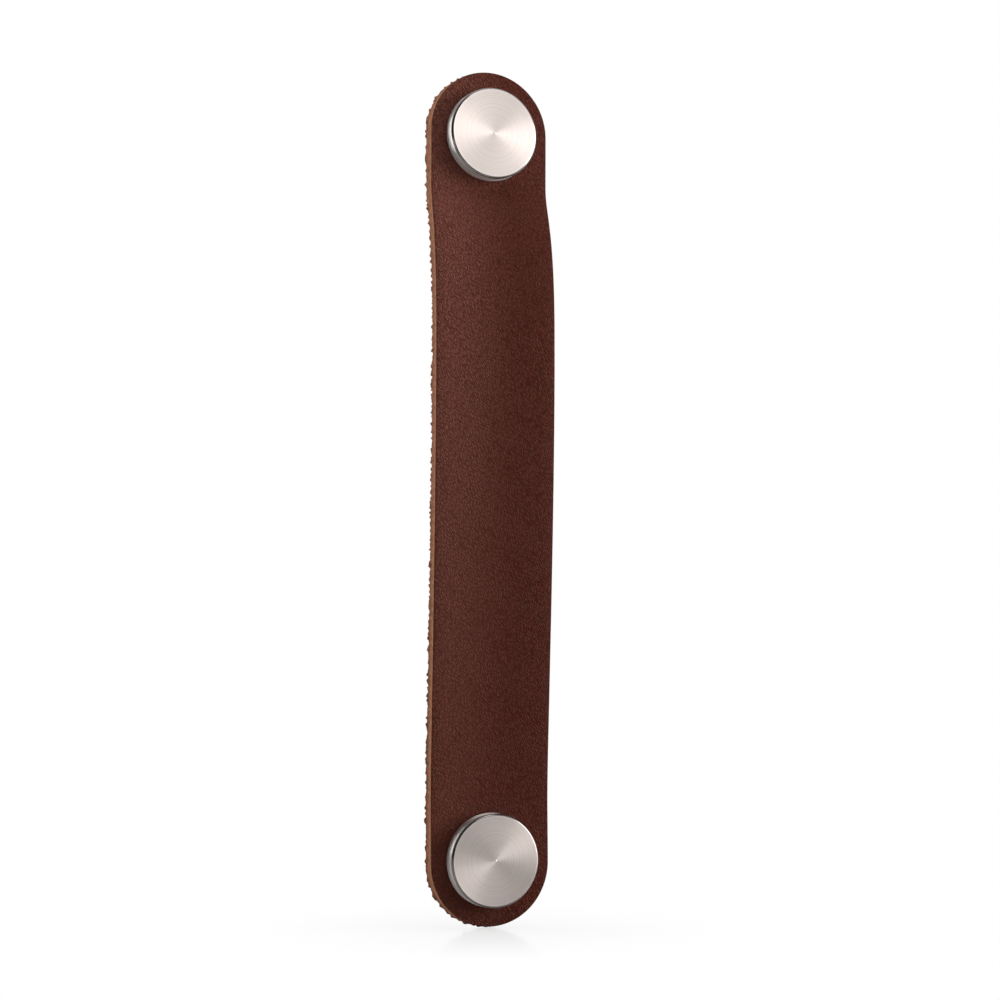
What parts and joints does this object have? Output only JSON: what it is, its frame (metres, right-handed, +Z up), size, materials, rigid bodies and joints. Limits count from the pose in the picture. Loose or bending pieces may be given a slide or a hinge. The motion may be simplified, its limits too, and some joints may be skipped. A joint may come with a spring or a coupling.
{
  "type": "leather cabinet pull",
  "caption": "Cabinet pull: a round-ended leather strap bowed off the door as a grip, clamped under a turned steel cap at each end by a machine screw from inside.",
  "frame": {"origin": "on the door's front face, midway between the axes of the screws", "axes": "+Z up along the strap, +Y into the door along the screws, +X to the right as seen from the front; the caps face -Y"},
  "size_m": [0.0274, 0.0286, 0.189],
  "materials": {
    "leather": "smooth reddish-brown grain face, raw tan cut edge, suede back",
    "turned_steel": "turned with fine rings round the centre, satin",
    "plated_steel": "bright zinc plate, slightly dull"
  },
  "bodies": {
    "root": {"leather_strap": "leather", "upper_cap": "turned_steel", "lower_cap": "turned_steel", "upper_screw": "plated_steel", "lower_screw": "plated_steel"}
  },
  "joints": []
}
